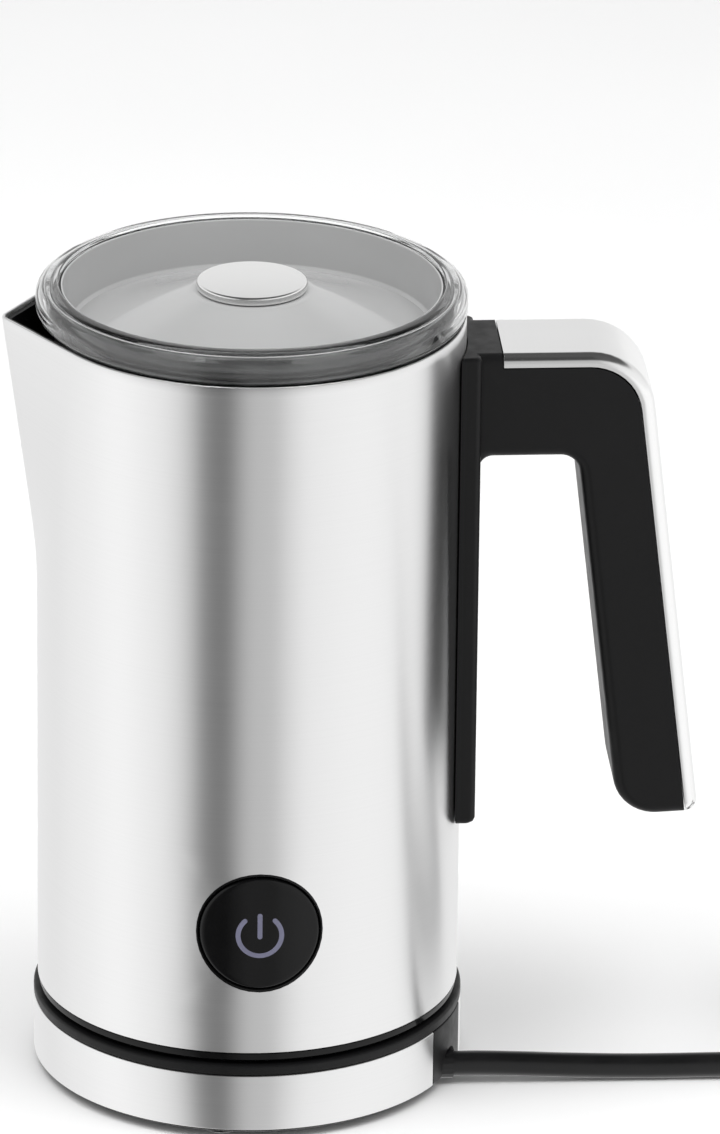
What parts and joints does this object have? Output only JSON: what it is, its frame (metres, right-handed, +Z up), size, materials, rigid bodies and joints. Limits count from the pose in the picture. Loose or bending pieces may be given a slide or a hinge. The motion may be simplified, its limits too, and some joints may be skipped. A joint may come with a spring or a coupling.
{
  "type": "milk frother",
  "caption": "Electric milk frother: spouted steel jug with clear lid, side handle and power button, lifting off a round corded base with a central connector.",
  "frame": {"origin": "on the surface the base stands on, midway between the spout's tip and the handle's outer face, on the jug's middle plane", "axes": "+Z up along the jug's axis, +X from the spout towards the handle, -Y towards the power button"},
  "size_m": [0.3397, 0.1108, 0.2063],
  "materials": {
    "brushed_steel": "fine circumferential brushing",
    "satin_steel": "satin",
    "satin_black": "satin",
    "gloss_black": "gloss",
    "clear_plastic": "clear moulded plastic",
    "knob_satin": "satin",
    "pot_coating": "non-stick coating",
    "rubber_black": "matt",
    "silicone_clear": "translucent",
    "aluminium": "machined",
    "brass": "plated",
    "magnet": "nickel plated",
    "board_green": "solder mask",
    "symbol_light": "lit light guide"
  },
  "bodies": {
    "base": {"base_bottom_plate": "satin_black", "base_steel_ring": "brushed_steel", "base_top_plate": "satin_black", "cord_outlet_block": "satin_black", "connector_tower": "satin_black", "contact_ring_outer": "brass", "contact_ring_inner": "brass", "earth_pin": "brass", "terminal_block": "pot_coating", "base_screw_1": "aluminium", "base_screw_2": "aluminium", "base_screw_3": "aluminium", "base_foot_1": "rubber_black", "base_foot_2": "rubber_black", "base_foot_3": "rubber_black", "base_foot_4": "rubber_black", "base_foot_5": "rubber_black", "base_foot_6": "rubber_black", "strain_relief": "rubber_black", "cord": "rubber_black", "cord_coil": "rubber_black", "cord_tail": "rubber_black", "plug_body": "rubber_black", "plug_pin_1": "brass", "plug_pin_2": "brass"},
    "jug_socket": {"jug_socket": "satin_black"},
    "jug": {"outer_shell": "brushed_steel", "rim_collar": "satin_black", "inner_pot": "pot_coating", "bottom_ring": "gloss_black", "bottom_cover": "satin_black", "cover_screw_1": "aluminium", "cover_screw_2": "aluminium", "cover_screw_3": "aluminium", "motor_bracket": "satin_black", "motor_body": "aluminium", "heater_ring": "aluminium", "temperature_sensor": "brass", "control_board": "board_green", "button_bezel": "gloss_black", "button_housing": "satin_black", "button_switch": "satin_black", "spindle_pin": "satin_steel", "handle_body": "satin_black", "handle_trim": "satin_steel", "handle_screw_1": "aluminium", "handle_screw_2": "aluminium"},
    "lid": {"lid_cover": "clear_plastic", "lid_knob": "knob_satin", "lid_seal": "silicone_clear"},
    "button": {"button_cap": "gloss_black"},
    "rotor": {"motor_shaft": "satin_steel", "magnet_carrier": "satin_black", "drive_magnet": "magnet"},
    "whisk_bush": {"whisk_bush": "satin_black"},
    "whisk": {"whisk_hub": "satin_black", "whisk_magnet": "magnet", "whisk_spring": "satin_steel"}
  },
  "joints": [
    {"name": "jug_lift", "type": "slide", "parent": "base", "child": "jug_socket", "axis": [0, 0, 1], "range_m": [0, 0.056]},
    {"name": "jug_swivel", "type": "hinge", "parent": "jug_socket", "child": "jug", "pos_m": [-0.02495, 0, 0], "axis": [0, 0, 1], "continuous": true},
    {"name": "lid_lift", "type": "slide", "parent": "jug", "child": "lid", "axis": [0, 0, 1], "range_m": [0, 0.04]},
    {"name": "button_press", "type": "slide", "parent": "jug", "child": "button", "axis": [0, 1, 0], "range_m": [0, 0.0008], "stiffness_N_per_m": 900},
    {"name": "motor_spin", "type": "hinge", "parent": "jug", "child": "rotor", "pos_m": [-0.02495, 0, 0.08], "axis": [0, 0, 1], "continuous": true},
    {"name": "whisk_lift", "type": "slide", "parent": "jug", "child": "whisk_bush", "axis": [0, 0, 1], "range_m": [0, 0.06]},
    {"name": "whisk_spin", "type": "hinge", "parent": "whisk_bush", "child": "whisk", "pos_m": [-0.02495, 0, 0.1], "axis": [0, 0, 1], "continuous": true}
  ],
  "couplings": [
    {"joint": "whisk_spin", "follows": "motor_spin", "ratio": 1}
  ]
}
